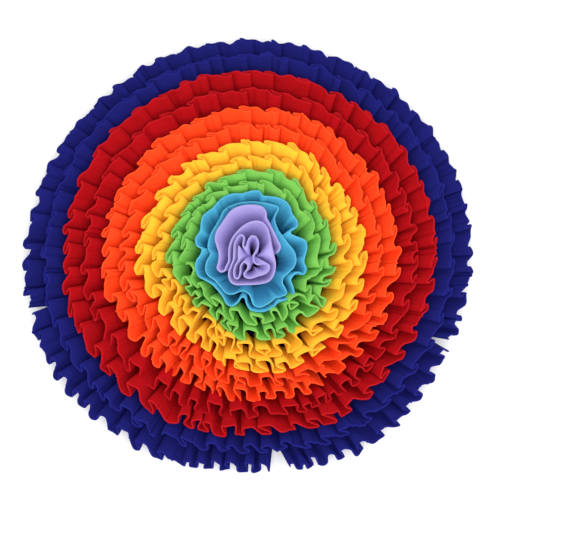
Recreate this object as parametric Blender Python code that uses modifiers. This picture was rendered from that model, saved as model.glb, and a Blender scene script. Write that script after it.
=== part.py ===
"""Snuffle mat: twelve rings of fleece ruffle sewn to a round base cloth, round a rolled rosette.

Each ruffle is a straight strip of fleece whose sewn edge follows a circle on the base and whose
free edge leans out over the ring outside it. Ten of the rings are knife pleated. Going clockwise,
a face rises to a fold, turns back under itself, and the next face starts from beneath it. They lie
flat where they are sewn. At the free edge they stay closed on the mat's far side and stand up in
open waves on its near side. The two rings next to the rosette are loose: their free edges wander,
and so are placed point by point, like the edge of the strip that is rolled into the rosette.

Lengths are in millimetres until a point is placed, and Blender's own unit is the metre. +Z is up,
+Y is the far side of the mat, and the origin is the middle of the underside. A clock angle is in
degrees from +Y, clockwise as seen from above.
"""

import math
import random
from typing import NamedTuple

import bpy
from mathutils.geometry import interpolate_bezier

MM = 0.001

FLEECE = 1.7  # thickness of the cloth
LAYERS = 2.3  # between the middles of the two layers that a fold joins
CLEAR = 2.8  # between the middles of two layers that a fold lays over each other
GAP = 0.3  # between a ruffle and the base that it is sewn to
ROOT_LIFT = 0.3  # what the sewn edge's uneven corners need above that, in half thicknesses
ROOT_TILT = 0.7  # at the sewn edge the layers lie over each other at this share of the lean
TAIL = 0.35  # how much of the last fold's return a strip keeps, as a share of it
PULL_REACH = 9.0  # degrees from a strip's end over which being pulled apart fades away
PULL_LAST = 0.6  # the share of it that the strip before the meeting takes

PLEAT_SIZES = (0.55, 1.45)  # smallest and largest pleat, as shares of the average
LIKE_THE_LAST = 0.33  # how far each pleat takes after the one before it
EVEN_CLOTH = 0.25  # how far the cloth turned under takes after the average, whatever the sizes
PLEAT_DEPTHS = (0.75, 1.15)  # how far a fold stands off, as shares of its ring's depth
SWAY_SEED = 21
SWAY = 1.6  # degrees that the ruffles lean out and in together, going round the mat
SWAY_WAVES = (2, 3, 5, 8)  # how many times they do so, going round
OWN_SWAY = 0.4  # degrees that each leans besides
OWN_WAVES = (2, 3, 5)
UNEVEN_CUT = 1.0  # how much wider and narrower than its width a strip is cut
CUT_WAVES = (3, 7, 11)

# On the mat's near side the pleats are smaller and stand up at the free edge in open waves.
NEAR_FADE = 1.5  # above 1, they are so only close to the nearest point
NEAR_PLEATS = 0.28  # how much smaller they are there, as a share
NEAR_DEEPER = 0.40  # how much deeper
NEAR_OPEN = 0.40  # width of a wave's crest and of its trough, as a share of the pleat
NEAR_SPARE = 1.1  # the cloth that such a crest takes up, times its width
NEAR_EASE = 0.35  # how much less cloth is turned under where the pleats are sewn, as a share
LEAST_CLOTH = 1.02  # in a pleat, as a share of the length that it covers

BASE_RADIUS = 198.0
BASE_THICKNESS = 3.0
BASE_SIDES = 72

MAT_RADIUS = 228.0  # the free edge of the outermost ring, on the average

OUTLINE_FADE = 3  # above 1, the rings are rounder towards the middle

# How far the mat's edge lies from its middle at each clock angle.
OUTLINE = (
    (0, 230), (30, 229), (60, 230), (90, 227), (120, 224), (150, 228),
    (180, 219), (210, 226), (232, 231), (255, 234), (285, 228), (315, 227), (340, 229),
)

# How far out of round the rings lie at each clock angle, and the share of that at each radius.
DRIFT = (
    (0, -5), (25, 0), (57, -7), (90, 0), (145, 8), (175, 8),
    (212, -11), (238, -11), (258, -3), (300, -9), (328, -9),
)
DRIFT_SHARE = ((0, 0.0), (45, 0.0), (100, 1.0), (185, 0.0))


class Ring(NamedTuple):
    """One ring of ruffle. Depth is how far its folds stand off the ring's middle surface, in all."""

    name: str
    cloth: str
    seed: int
    pleats: int
    root_radius: float
    root_lean: float  # degrees from upright where it is sewn
    edge_lean: float  # the same at its free edge
    width: float  # of the cut strip
    fullness: float  # cloth length over the length that it covers at the free edge
    root_depth: float
    edge_depth: float
    facets: int  # flats across a pleat's long face: more where the ring is tight
    ends: tuple[tuple[float, float], ...]  # where strips meet: clock angle, degrees pulled apart


class Loose(NamedTuple):
    """One ring of ruffle that is sewn down plainly and waves loosely at its free edge."""

    name: str
    cloth: str
    edge: tuple[tuple[float, float], ...]
    root_radius: float
    root_waves: float  # how much of the free edge's waves there is where it is sewn, as a share
    width: float  # of the cut strip


OUTER_ENDS = ((115, 3.2), (173, 4.8), (252, 3.4))

RINGS = (
    Ring("blue_outer", "blue", 21, 62, 192.5, 66, 71, 38, 1.75, 4.8, 7.6, 1, OUTER_ENDS),
    Ring("blue_inner", "blue", 2, 54, 171.3, 50, 57, 45, 1.75, 4.8, 5.8, 1, ((205, 0),)),
    Ring("red_outer", "red", 103, 49, 154.3, 43, 48, 47, 1.80, 4.8, 7.0, 1, ((290, 0),)),
    Ring("red_inner", "red", 4, 43, 137.3, 40, 44, 46, 1.65, 4.8, 7.6, 1, ((60, 0),)),
    Ring("orange_outer", "orange", 125, 44, 121.6, 36, 40, 45, 1.80, 4.8, 7.2, 1, ((150, 0),)),
    Ring("orange_inner", "orange", 106, 40, 107.0, 33, 36, 45, 1.80, 4.8, 6.8, 1, ((20, 0),)),
    Ring("yellow_outer", "yellow", 47, 32, 92.5, 30, 32, 45, 1.75, 4.8, 7.0, 2, ((320, 0),)),
    Ring("yellow_inner", "yellow", 28, 29, 78.6, 26, 28, 45, 1.70, 4.8, 6.8, 2, ((215, 0),)),
    Ring("green_outer", "green", 9, 25, 65.6, 22, 25, 45, 1.65, 4.8, 6.2, 2, ((100, 0),)),
    Ring("green_inner", "green", 30, 20, 53.4, 19, 25, 45, 1.60, 4.8, 5.8, 2, ((255, 0),)),
)

# The free edges of the three strips that aren't pleated, from end to end.
SKY_INNER_EDGE = (
    (-21.5, 43.0), (-13.5, 46.0), (-6.0, 47.5), (4.0, 48.0), (13.5, 47.0), (23.5, 45.0),
    (29.0, 42.0), (26.5, 35.5), (25.0, 29.5), (28.0, 19.5), (33.5, 11.0), (39.5, 3.0), (44.5, -3.5),
    (46.5, -11.5), (44.5, -19.0), (39.5, -24.5), (34.0, -30.0), (32.5, -35.5), (35.5, -41.0),
    (37.0, -46.0), (31.5, -49.0), (25.5, -50.5), (20.0, -55.0), (13.0, -59.0), (7.5, -59.5),
    (3.5, -57.0), (1.5, -51.5), (-1.0, -47.0), (-5.5, -44.5), (-10.5, -44.5), (-17.5, -47.0),
    (-24.5, -45.5), (-30.0, -39.0), (-36.0, -32.5), (-42.0, -28.0), (-45.0, -21.5), (-43.5, -13.5),
    (-40.0, -6.5), (-42.5, 0.5), (-41.5, 8.5), (-38.5, 16.5), (-34.5, 23.5), (-30.5, 30.5),
    (-27.5, 37.5), (-23.5, 41.5),
)

SKY_OUTER_EDGE = (
    (-30.5, 50.0), (-25.5, 54.0), (-17.5, 56.5), (-8.0, 56.5), (2.0, 59.5), (9.0, 59.5),
    (13.0, 54.5), (19.5, 53.5), (28.0, 52.5), (36.0, 49.0), (40.5, 43.0), (42.5, 36.0),
    (47.5, 28.5), (48.0, 22.5), (44.0, 20.0), (41.0, 17.5), (42.5, 13.5), (48.5, 11.0), (56.0, 7.5),
    (57.5, 0.5), (55.5, -8.0), (54.5, -15.0), (57.0, -21.5), (54.0, -26.5), (49.0, -25.0),
    (44.5, -27.5), (41.0, -33.0), (43.0, -39.0), (44.5, -45.5), (41.5, -51.0), (34.5, -53.0),
    (28.5, -55.0), (23.0, -60.0), (15.0, -64.0), (7.5, -64.5), (0.5, -62.5), (-3.0, -57.5),
    (-5.0, -51.5), (-9.0, -51.0), (-12.5, -55.5), (-18.0, -59.0), (-23.5, -56.5), (-27.0, -50.0),
    (-32.5, -43.0), (-39.0, -36.5), (-45.5, -32.5), (-52.0, -28.5), (-55.0, -21.0), (-54.0, -13.0),
    (-50.0, -7.0), (-49.0, -1.0), (-54.0, 3.0), (-55.0, 10.0), (-50.5, 17.5), (-49.5, 25.5),
    (-47.5, 33.5), (-41.5, 38.5), (-37.0, 42.5), (-34.5, 45.5), (-32.0, 48.5),
)

ROSE_EDGE = (
    (28.0, -6.5), (30.5, -0.5), (27.5, 6.5), (24.0, 14.0), (20.0, 22.5), (16.5, 29.5), (16.0, 35.5),
    (12.0, 40.5), (4.0, 42.5), (-6.0, 42.0), (-14.5, 39.5), (-20.5, 35.0), (-24.5, 29.0),
    (-29.5, 21.5), (-33.5, 15.0), (-35.0, 7.5), (-33.0, -0.5), (-31.0, -8.0), (-31.5, -16.0),
    (-33.0, -22.0), (-30.0, -26.0), (-26.0, -25.0), (-24.0, -20.5), (-21.5, -15.5), (-21.5, -9.0),
    (-21.0, -1.5), (-18.0, 7.5), (-12.0, 15.5), (-4.5, 22.0), (4.5, 25.5), (12.5, 24.0),
    (17.5, 18.0), (20.0, 9.5), (22.0, 0.0), (24.0, -9.0), (25.5, -18.5), (24.0, -28.0),
    (19.0, -35.5), (8.5, -38.5), (-4.0, -39.0), (-14.5, -39.0), (-20.0, -35.0), (-21.5, -28.0),
    (-19.5, -21.0), (-17.0, -14.5), (-16.5, -6.0), (-15.5, 2.5), (-12.5, 9.0), (-9.0, 11.5),
    (-6.0, 9.0), (-7.0, 3.5), (-7.0, -0.5), (-4.0, -0.5), (-2.0, 5.5), (1.5, 10.0), (6.0, 9.0),
    (8.5, 3.5), (7.0, -3.5), (4.0, -10.0), (4.0, -15.5), (7.5, -19.0), (14.0, -18.5), (19.0, -19.5),
    (19.5, -24.0), (15.0, -28.5), (7.0, -31.0), (0.0, -33.0), (-5.0, -31.5), (-6.0, -28.0),
    (-3.0, -24.0), (-2.5, -19.5), (-6.0, -17.0), (-9.5, -20.5), (-10.0, -27.0), (-12.0, -33.0),
    (-15.5, -32.0), (-16.5, -26.5), (-15.0, -20.0), (-12.0, -14.0), (-12.0, -7.0), (-11.5, 0.0),
)

LOOSE_RINGS = (
    Loose("sky_outer", "sky", SKY_OUTER_EDGE, 41.5, 0.25, 45),
    Loose("sky_inner", "sky", SKY_INNER_EDGE, 30.0, 0.20, 46),
)
LOOSE_POINTS = 2  # columns between two points of a loose ring's edge

ROSE_WIDTH = 56.0  # of the cut strip
ROSE_ROOT = 0.55  # size of its sewn edge, as a share of the free edge
ROSE_FLARE = 1.5  # above 1, the rosette opens more towards its free edge
ROSE_STEPS = 2  # rows of faces up it
ROSE_POINTS = 2  # columns between two points of its edge

FINISHES = {  # linear RGB, roughness
    "blue": ((0.012, 0.014, 0.220), 0.95),
    "red": ((0.480, 0.004, 0.008), 0.95),
    "orange": ((1.000, 0.070, 0.012), 0.95),
    "yellow": ((1.000, 0.480, 0.030), 0.95),
    "green": ((0.150, 0.520, 0.075), 0.95),
    "sky": ((0.062, 0.380, 0.660), 0.95),
    "lavender": ((0.400, 0.290, 0.700), 0.95),
    "base": ((0.010, 0.012, 0.080), 1.00),
}


class Fold(NamedTuple):
    """One pleat in a ring: where it starts, what it covers, and how much it differs from the rest."""

    start: float  # clock angle
    sweep: float  # degrees of the ring that it covers
    depth: float  # times the ring's own depth
    cloth: float  # length of cloth in it


def clear_scene() -> None:
    """Remove every object, so that only the mat is left."""
    for obj in list(bpy.data.objects):
        bpy.data.objects.remove(obj, do_unlink=True)


def between(table, clock: float) -> float:
    """Read a table of (place, value) at any place, with soft bends and no break at 360."""
    clock %= 360.0
    for index, (start, low) in enumerate(table):
        stop, high = table[(index + 1) % len(table)]
        span = (stop - start) % 360
        if (clock - start) % 360 < span:
            share = (clock - start) % 360 / span
            return low + (high - low) * (1 - math.cos(math.pi * share)) / 2
    return table[0][1]


def ripple(rng: random.Random, waves: tuple[int, ...]):
    """Return a smooth uneven function of the clock angle, between about -1 and 1."""
    terms = [(n, rng.uniform(0, 2 * math.pi), rng.uniform(0.6, 1.0)) for n in waves]
    total = sum(size for _, _, size in terms)
    return lambda clock: sum(s * math.sin(n * math.radians(clock) + p) for n, p, s in terms) / total


def nearness(clock: float) -> float:
    """Return 0 on the mat's far side and 1 at its nearest point."""
    return ((1 - math.cos(math.radians(clock))) / 2) ** NEAR_FADE


def carrier(ring: Ring, share: float, lean_by: float = 0.0, longer: float = 0.0):
    """Return (radius, height, lean) of the ring's middle surface at a share of the strip's width.

    The surface leaves the base at root_lean and bends in an even curve to edge_lean.
    """
    first = math.radians(ring.root_lean + lean_by)
    bend = math.radians(ring.edge_lean - ring.root_lean) or 1e-6
    lean = first + bend * share
    reach = (ring.width + longer) / bend
    stack = (ring.root_depth + LAYERS) / 2 * math.sin(ROOT_TILT * first)
    root_height = BASE_THICKNESS + GAP + stack + FLEECE / 2 * (math.sin(first) + ROOT_LIFT)
    radius = ring.root_radius + reach * (math.cos(first) - math.cos(lean))
    height = root_height + reach * (math.sin(lean) - math.sin(first))
    return radius, height, lean


def lay_out_folds(ring: Ring, rng: random.Random) -> list[Fold]:
    """Share the ring out among its pleats, unevenly, starting at the first strip's end."""
    drawn = [rng.uniform(*PLEAT_SIZES) for _ in range(ring.pleats)]
    first = ring.ends[0][0]
    shares = []
    for index, size in enumerate(drawn):
        even = size + (drawn[index - 1] - size) * LIKE_THE_LAST
        shares.append(even * (1 - NEAR_PLEATS * nearness(first + 360 * index / ring.pleats)))
    scale = 360.0 / sum(shares)
    edge_radius = carrier(ring, 1.0)[0]
    mean_pitch = edge_radius * math.tau / ring.pleats
    folds, clock = [], first
    for index, share in enumerate(shares):
        pitch = edge_radius * math.radians(share * scale)
        smaller = min(share, shares[(index + 1) % ring.pleats]) / share * pitch
        turned_under = smaller + (mean_pitch - smaller) * EVEN_CLOTH
        cloth = pitch + (ring.fullness - 1) * turned_under
        folds.append(Fold(clock, share * scale, rng.uniform(*PLEAT_DEPTHS), cloth))
        clock += share * scale
    return folds


def crest_offset(pitch: float, cloth: float, depth: float) -> float:
    """Return how far round a pleat's fold lies from its start.

    The two straight layers use up the pleat's cloth, so the fold is on an ellipse whose foci are
    the pleat's two ends. The answer past its middle is a knife pleat, folded over the next one.
    """
    share = pitch / cloth
    half_height = math.sqrt(max(1 - share * share, 0.0)) / 2
    rise = min(depth / cloth / half_height, 0.999)
    return cloth * (share + math.sqrt(1 - rise * rise)) / 2


def split(point, before, after, width: float):
    """Part a fold's point into the two corners of its blunt end: (arriving layer, leaving layer).

    The layers are LAYERS apart where they lie over each other, and width where the fold stands up.
    """
    a = math.hypot(point[0] - before[0], point[1] - before[1])
    b = math.hypot(point[0] - after[0], point[1] - after[1])
    across = (
        (point[1] - before[1]) / a + (point[1] - after[1]) / b,
        -(point[0] - before[0]) / a - (point[0] - after[0]) / b,
    )
    size = math.hypot(*across) or 1.0
    turn = (point[0] - before[0]) * (after[1] - point[1]) - (point[1] - before[1]) * (
        after[0] - point[0]
    )
    side = math.copysign(0.5 / size, turn)
    along, off = across[0] * side * width, across[1] * side * LAYERS
    return (point[0] + along, point[1] + off), (point[0] - along, point[1] - off)


def fold_lines(ring: Ring, folds: list[Fold], share: float):
    """Return each pleat's corners, as (clock, height off the middle surface), at one share.

    They are the long face's, from its start to its fold, then the two ends of the layer beneath.
    """
    radius = carrier(ring, share)[0]
    per_degree = radius * math.pi / 180
    bases, widths, alongs = [], [], []
    for fold in folds:
        near = nearness(fold.start)
        pitch = fold.sweep * per_degree
        even = ring.root_depth + (ring.edge_depth - ring.root_depth) * share
        bases.append(even * (1 + NEAR_DEEPER * near * share))
        widths.append(max(LAYERS, pitch * NEAR_OPEN * near * share))
        cloth = fold.cloth * (1 - NEAR_EASE * near * (1 - share))
        cloth -= (widths[-1] - LAYERS) * NEAR_SPARE
        alongs.append(crest_offset(pitch, max(cloth, pitch * LEAST_CLOTH), bases[-1] * fold.depth))
    valleys, crests = [], []
    for index, fold in enumerate(folds):
        following = alongs[(index + 1) % len(folds)]
        overlap = max(alongs[index] - fold.sweep * per_degree, 0.0) / following
        flat_sag = (following / ring.facets) ** 2 / (8 * radius)
        least = (CLEAR + flat_sag + LAYERS * overlap) / (1 - overlap)
        foot = -bases[index] / 2
        valleys.append((fold.start * per_degree, foot))
        top = foot + max(bases[index] * fold.depth, least)
        crests.append((fold.start * per_degree + alongs[index], top))
    around = 360.0 * per_degree
    corners = []
    for index in range(len(folds)):
        last = index == len(folds) - 1
        following = valleys[0] if last else valleys[index + 1]
        following = (following[0] + around * last, following[1])
        earlier = crests[index - 1]
        earlier = (earlier[0] - around * (index == 0), earlier[1])
        behind = (widths[index - 1] + widths[index]) / 2
        ahead = (widths[index] + widths[(index + 1) % len(folds)]) / 2
        _, rising = split(valleys[index], earlier, crests[index], behind)
        over, under = split(crests[index], valleys[index], following, widths[index])
        after = crests[0] if last else crests[index + 1]
        after = (after[0] + around * last, after[1])
        back, _ = split(following, crests[index], after, ahead)
        face = [
            tuple(low + (high - low) * flat / ring.facets for low, high in zip(rising, over))
            for flat in range(ring.facets + 1)
        ]
        corners.append([(x / per_degree, rise) for x, rise in (*face, under, back)])
    return corners


def strip_mesh(name: str, columns: int, steps: int, place, falls=lambda column: False):
    """Make a strip whose vertices lie where place(column, share) says.

    A face is split from its first corner: on a line that rises with the columns, or that falls.
    """
    points = [
        [MM * value for value in place(column, step / steps)]
        for step in range(steps + 1)
        for column in range(columns + 1)
    ]
    faces = []
    for step in range(steps):
        for column in range(columns):
            low = step * (columns + 1) + column
            high = low + columns + 1
            face = (low, low + 1, high + 1, high)
            faces.append(face[1:] + face[:1] if falls(column) else face)
    mesh = bpy.data.meshes.new(name)
    mesh.from_pydata(points, [], faces)
    strip = bpy.data.objects.new(name, mesh)
    bpy.context.scene.collection.objects.link(strip)
    return strip


def thicken(strip) -> None:
    """Give a strip the thickness of fleece, half on each side of its middle surface."""
    solid = strip.modifiers.new("Fleece", "SOLIDIFY")
    solid.thickness = FLEECE * MM
    solid.offset = 0.0
    solid.use_even_offset = True
    solid.use_quality_normals = True


def add_ring(ring: Ring) -> list:
    """Make the strips of one ring: the whole ring is pleated first, then parted at its ends."""
    rng = random.Random(ring.seed)
    folds = lay_out_folds(ring, rng)
    sway = ripple(random.Random(SWAY_SEED), SWAY_WAVES)
    own_sway, cut = ripple(rng, OWN_WAVES), ripple(rng, CUT_WAVES)
    rows = {share: fold_lines(ring, folds, share) for share in (0.0, 1.0)}
    per_pleat = ring.facets + 3

    def place(first: int, last: int, before: float, after: float):
        begin = folds[first].start
        finish_at = rows[1.0][last][per_pleat - 2][0]

        def at(column: int, share: float):
            pleat, corner = divmod(column, per_pleat)
            clock, rise = rows[share][first + pleat][corner]
            if first + pleat == last and corner == per_pleat - 1:
                under_clock, under_rise = rows[share][last][corner - 1]
                clock = under_clock + (clock - under_clock) * TAIL
                rise = under_rise + (rise - under_rise) * TAIL
            clock += before * share * math.exp(-max(clock - begin, 0.0) / PULL_REACH)
            clock -= after * share * math.exp(-max(finish_at - clock, 0.0) / PULL_REACH)
            lean_by = SWAY * sway(clock) + OWN_SWAY * own_sway(clock)
            radius, height, lean = carrier(ring, share, lean_by, UNEVEN_CUT * cut(clock))
            outward = between(OUTLINE, clock) / MAT_RADIUS - 1
            radius *= 1 + outward * (radius / MAT_RADIUS) ** OUTLINE_FADE
            tilt = lean * (ROOT_TILT + (1 - ROOT_TILT) * share)
            radius -= rise * math.cos(tilt)
            radius += between(DRIFT, clock) * between(DRIFT_SHARE, radius)
            height += rise * math.sin(tilt)
            angle = math.radians(clock)
            return radius * math.sin(angle), radius * math.cos(angle), height

        return at

    starts = [
        min(range(len(folds)), key=lambda index: abs(folds[index].start - end))
        for end, _ in ring.ends
    ]
    strips = []
    for index, first in enumerate(starts):
        last = (starts[index + 1] if index + 1 < len(starts) else len(folds)) - 1
        name = ring.name + ("_" + "abc"[index] if len(starts) > 1 else "")
        before = ring.ends[index][1] * (1 - PULL_LAST)
        after = ring.ends[(index + 1) % len(starts)][1] * PULL_LAST
        columns = per_pleat * (last - first + 1) - 1
        strip = strip_mesh(
            name,
            columns,
            1,
            place(first, last, before, after),
            lambda column: column % per_pleat > ring.facets,
        )
        thicken(strip)
        strips.append(strip)
    return strips


def smooth_path(knots, per_span: int):
    """Return points on a smooth curve through the knots, per_span of them for each span."""
    points = []
    for index in range(len(knots) - 1):
        a, b = knots[index], knots[index + 1]
        before = knots[max(index - 1, 0)]
        after = knots[min(index + 2, len(knots) - 1)]
        lead = [a[i] + (b[i] - before[i]) / 6 for i in (0, 1)]
        tail = [b[i] - (after[i] - a[i]) / 6 for i in (0, 1)]
        run = interpolate_bezier((*a, 0), (*lead, 0), (*tail, 0), (*b, 0), per_span + 1)
        points += [(p.x, p.y) for p in run[:-1]]
    return points + [knots[-1]]


def add_loose(ring: Loose):
    """Make one loose ring along the path of its free edge, drawn in to a rounder sewn edge."""
    path = smooth_path(ring.edge, LOOSE_POINTS)
    mean_radius = sum(math.hypot(x, y) for x, y in path) / len(path)
    root_height = BASE_THICKNESS + GAP + FLEECE / 2 * (1 + ROOT_LIFT)

    def place(column: int, share: float):
        x, y = path[column]
        edge = math.hypot(x, y)
        root = ring.root_radius + (edge - mean_radius) * ring.root_waves
        radius = root + (edge - root) * share
        lean = (edge - root) / ring.width
        height = root_height + ring.width * share * math.sqrt(1 - lean * lean)
        return x * radius / edge, y * radius / edge, height

    strip = strip_mesh(ring.name, len(path) - 1, 1, place)
    thicken(strip)
    return strip


def add_rosette():
    """Roll one strip along the rosette's path, narrow where it is sewn and wide at its free edge."""
    path = smooth_path(ROSE_EDGE, ROSE_POINTS)
    root_height = BASE_THICKNESS + GAP + FLEECE / 2 * ROOT_LIFT

    def place(column: int, share: float):
        spread = ROSE_ROOT + (1 - ROSE_ROOT) * share**ROSE_FLARE
        x, y = path[column]
        lean = math.hypot(x, y) * (1 - ROSE_ROOT) / ROSE_WIDTH
        height = root_height + ROSE_WIDTH * share * math.sqrt(1 - lean * lean)
        return x * spread, y * spread, height

    strip = strip_mesh("lavender_rose", len(path) - 1, ROSE_STEPS, place)
    thicken(strip)
    return strip


def add_base():
    """Make the round base cloth that carries every ruffle."""
    bpy.ops.mesh.primitive_cylinder_add(
        vertices=BASE_SIDES,
        radius=BASE_RADIUS * MM,
        depth=BASE_THICKNESS * MM,
        location=(0, 0, BASE_THICKNESS / 2 * MM),
    )
    base = bpy.context.object
    base.name = base.data.name = "backing"
    return base


def finish(name: str):
    """Make the matt cloth material of one colour."""
    colour, roughness = FINISHES[name]
    material = bpy.data.materials.new(name)
    material.use_nodes = True
    shader = material.node_tree.nodes["Principled BSDF"]
    shader.inputs["Base Color"].default_value = (*colour, 1.0)
    shader.inputs["Roughness"].default_value = roughness
    shader.inputs["Metallic"].default_value = 0.0
    return material


def main() -> None:
    clear_scene()
    mat = bpy.data.collections.new("snuffle_mat")
    bpy.context.scene.collection.children.link(mat)
    finishes = {name: finish(name) for name in FINISHES}
    pieces = [("base", add_base()), ("lavender", add_rosette())]
    for ring in RINGS:
        pieces += [(ring.cloth, strip) for strip in add_ring(ring)]
    pieces += [(ring.cloth, add_loose(ring)) for ring in LOOSE_RINGS]
    for cloth, piece in pieces:
        piece.data.materials.append(finishes[cloth])
        for owner in list(piece.users_collection):
            owner.objects.unlink(piece)
        mat.objects.link(piece)


main()
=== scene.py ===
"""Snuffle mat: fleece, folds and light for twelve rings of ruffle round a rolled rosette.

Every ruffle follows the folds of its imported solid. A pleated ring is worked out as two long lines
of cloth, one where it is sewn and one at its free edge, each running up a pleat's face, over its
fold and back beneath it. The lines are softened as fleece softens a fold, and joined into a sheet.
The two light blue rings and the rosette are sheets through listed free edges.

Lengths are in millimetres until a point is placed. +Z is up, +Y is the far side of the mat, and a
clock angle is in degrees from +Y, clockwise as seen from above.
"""

from __future__ import annotations

import logging
import math
import random
from collections.abc import Callable, Sequence
from dataclasses import dataclass, replace
from enum import Enum
from functools import cached_property

import bmesh
import bpy
import numpy as np
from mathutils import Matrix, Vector
from mathutils.geometry import interpolate_bezier

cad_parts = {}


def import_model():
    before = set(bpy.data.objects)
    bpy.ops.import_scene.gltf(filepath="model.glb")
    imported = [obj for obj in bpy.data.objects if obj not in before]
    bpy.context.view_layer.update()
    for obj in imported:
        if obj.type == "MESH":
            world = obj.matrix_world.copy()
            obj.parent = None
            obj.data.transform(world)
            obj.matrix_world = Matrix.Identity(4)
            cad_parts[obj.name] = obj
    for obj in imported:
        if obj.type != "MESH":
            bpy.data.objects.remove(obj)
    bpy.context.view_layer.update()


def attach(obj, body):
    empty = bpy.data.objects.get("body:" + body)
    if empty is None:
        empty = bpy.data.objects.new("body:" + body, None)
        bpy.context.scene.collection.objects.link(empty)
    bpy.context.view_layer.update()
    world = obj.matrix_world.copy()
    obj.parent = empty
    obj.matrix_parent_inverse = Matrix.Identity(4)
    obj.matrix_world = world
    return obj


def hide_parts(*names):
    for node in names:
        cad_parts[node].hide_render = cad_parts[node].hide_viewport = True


log = logging.getLogger("snuffle_mat")

Colour = tuple[float, float, float]
Point = tuple[float, float]
Path = tuple[Point, ...]
Values = np.ndarray | float
Wave = Callable[[np.ndarray], np.ndarray]

MM = 0.001
BODY = "root"
CLOTH_UV = "cloth"

FLEECE = 1.7  # thickness of the cloth
LAYERS = 2.3  # between the middles of the two layers that a fold joins
CLEAR = 2.8  # between the middles of two layers that a fold lays over each other
GAP = 0.3  # between a ruffle and the base that it is sewn to
ROOT_LIFT = 0.3  # what the sewn edge needs above that, in half thicknesses
ROOT_TILT = 0.7  # at the sewn edge the layers lie over each other at this share of the lean
ROOT_DEPTH = 4.8  # how far the folds stand off there
TAIL = 0.35  # how much of the last fold's return a strip keeps
PULL_REACH = 9.0  # degrees from a strip's end over which being pulled apart fades
PULL_LAST = 0.6  # the share of it that the strip before the meeting takes

PLEAT_SIZES = (0.55, 1.45)  # as shares of the average
LIKE_THE_LAST = 0.33  # how far each pleat takes after the one before it
EVEN_CLOTH = 0.25  # how far the cloth turned under takes after the average
PLEAT_DEPTHS = (0.75, 1.15)  # as shares of the ring's depth
SWAY_SEED = 21
SWAY = 1.6  # degrees that the ruffles lean out and in together, going round the mat
SWAY_WAVES = (2, 3, 5, 8)  # how many times they do so
OWN_SWAY = 0.4  # degrees that each leans besides
OWN_WAVES = (2, 3, 5)
UNEVEN_CUT = 1.0  # how much wider and narrower a strip is cut
CUT_WAVES = (3, 7, 11)
JOSTLE = 3.0  # degrees that the free edges lean out and in besides, in shorter waves
JOSTLE_WAVES = (7, 11, 16)
JOSTLE_TURN = 0.12  # degrees further round for each millimetre of a ring's radius

# On the mat's near side the pleats are smaller and stand up at the free edge in open waves.
NEAR_FADE = 1.5  # above 1, only close to the nearest point
NEAR_PLEATS = 0.28  # how much smaller they are, as a share
NEAR_DEEPER = 0.40  # how much deeper
NEAR_OPEN = 0.40  # width of a wave's crest and of its trough, as a share of the pleat
NEAR_SPARE = 1.1  # the cloth that such a crest takes up, times its width
NEAR_EASE = 0.35  # how much less cloth is turned under at the sewn edge, as a share
FAR_LOOPS = 0.5  # how much of the near waves' loops the far folds have
LEAST_CLOTH = 1.02  # in a pleat, as a share of the length that it covers

BASE_RADIUS = 198.0
BASE_THICKNESS = 3.0
MAT_RADIUS = 228.0  # of the outermost ring's free edge, on the average
OUTLINE_FADE = 3  # above 1, the rings are rounder towards the middle

# How far the mat's edge lies from its middle at each clock angle.
OUTLINE = (
    (0, 230), (30, 229), (60, 230), (90, 227), (120, 224), (150, 228),
    (180, 219), (210, 226), (232, 231), (255, 234), (285, 228), (315, 227), (340, 229),
)
# How far out of round the rings lie at each clock angle, and the share of that at each radius.
DRIFT = (
    (0, -5), (25, 0), (57, -7), (90, 0), (145, 8), (175, 8),
    (212, -11), (238, -11), (258, -3), (300, -9), (328, -9),
)
DRIFT_SHARE = ((0, 0.0), (45, 0.0), (100, 1.0), (185, 0.0))
# Where the outermost ring's strips meet, and how many degrees they are pulled apart there.
OUTER_ENDS = ((115, 1.8), (173, 4.2), (252, 1.4))

# The free edges of the two light blue rings and of the rosette, as (x, y).
SKY_INNER_EDGE = (
    (-21.5, 43), (-13.5, 46), (-6, 47.5), (4, 48), (13.5, 47), (23.5, 45), (29, 42), (26.5, 35.5),
    (25, 29.5), (28, 19.5), (33.5, 11), (39.5, 3), (44.5, -3.5), (46.5, -11.5), (44.5, -19),
    (39.5, -24.5), (34, -30), (32.5, -35.5), (35.5, -41), (37, -46), (31.5, -49), (25.5, -50.5),
    (20, -55), (13, -59), (7.5, -59.5), (3.5, -57), (1.5, -51.5), (-1, -47), (-5.5, -44.5),
    (-10.5, -44.5), (-17.5, -47), (-24.5, -45.5), (-30, -39), (-36, -32.5), (-42, -28), (-45, -21.5),
    (-43.5, -13.5), (-40, -6.5), (-42.5, 0.5), (-41.5, 8.5), (-38.5, 16.5), (-34.5, 23.5), (-30.5, 30.5),
    (-27.5, 37.5), (-23.5, 41.5),
)

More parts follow.
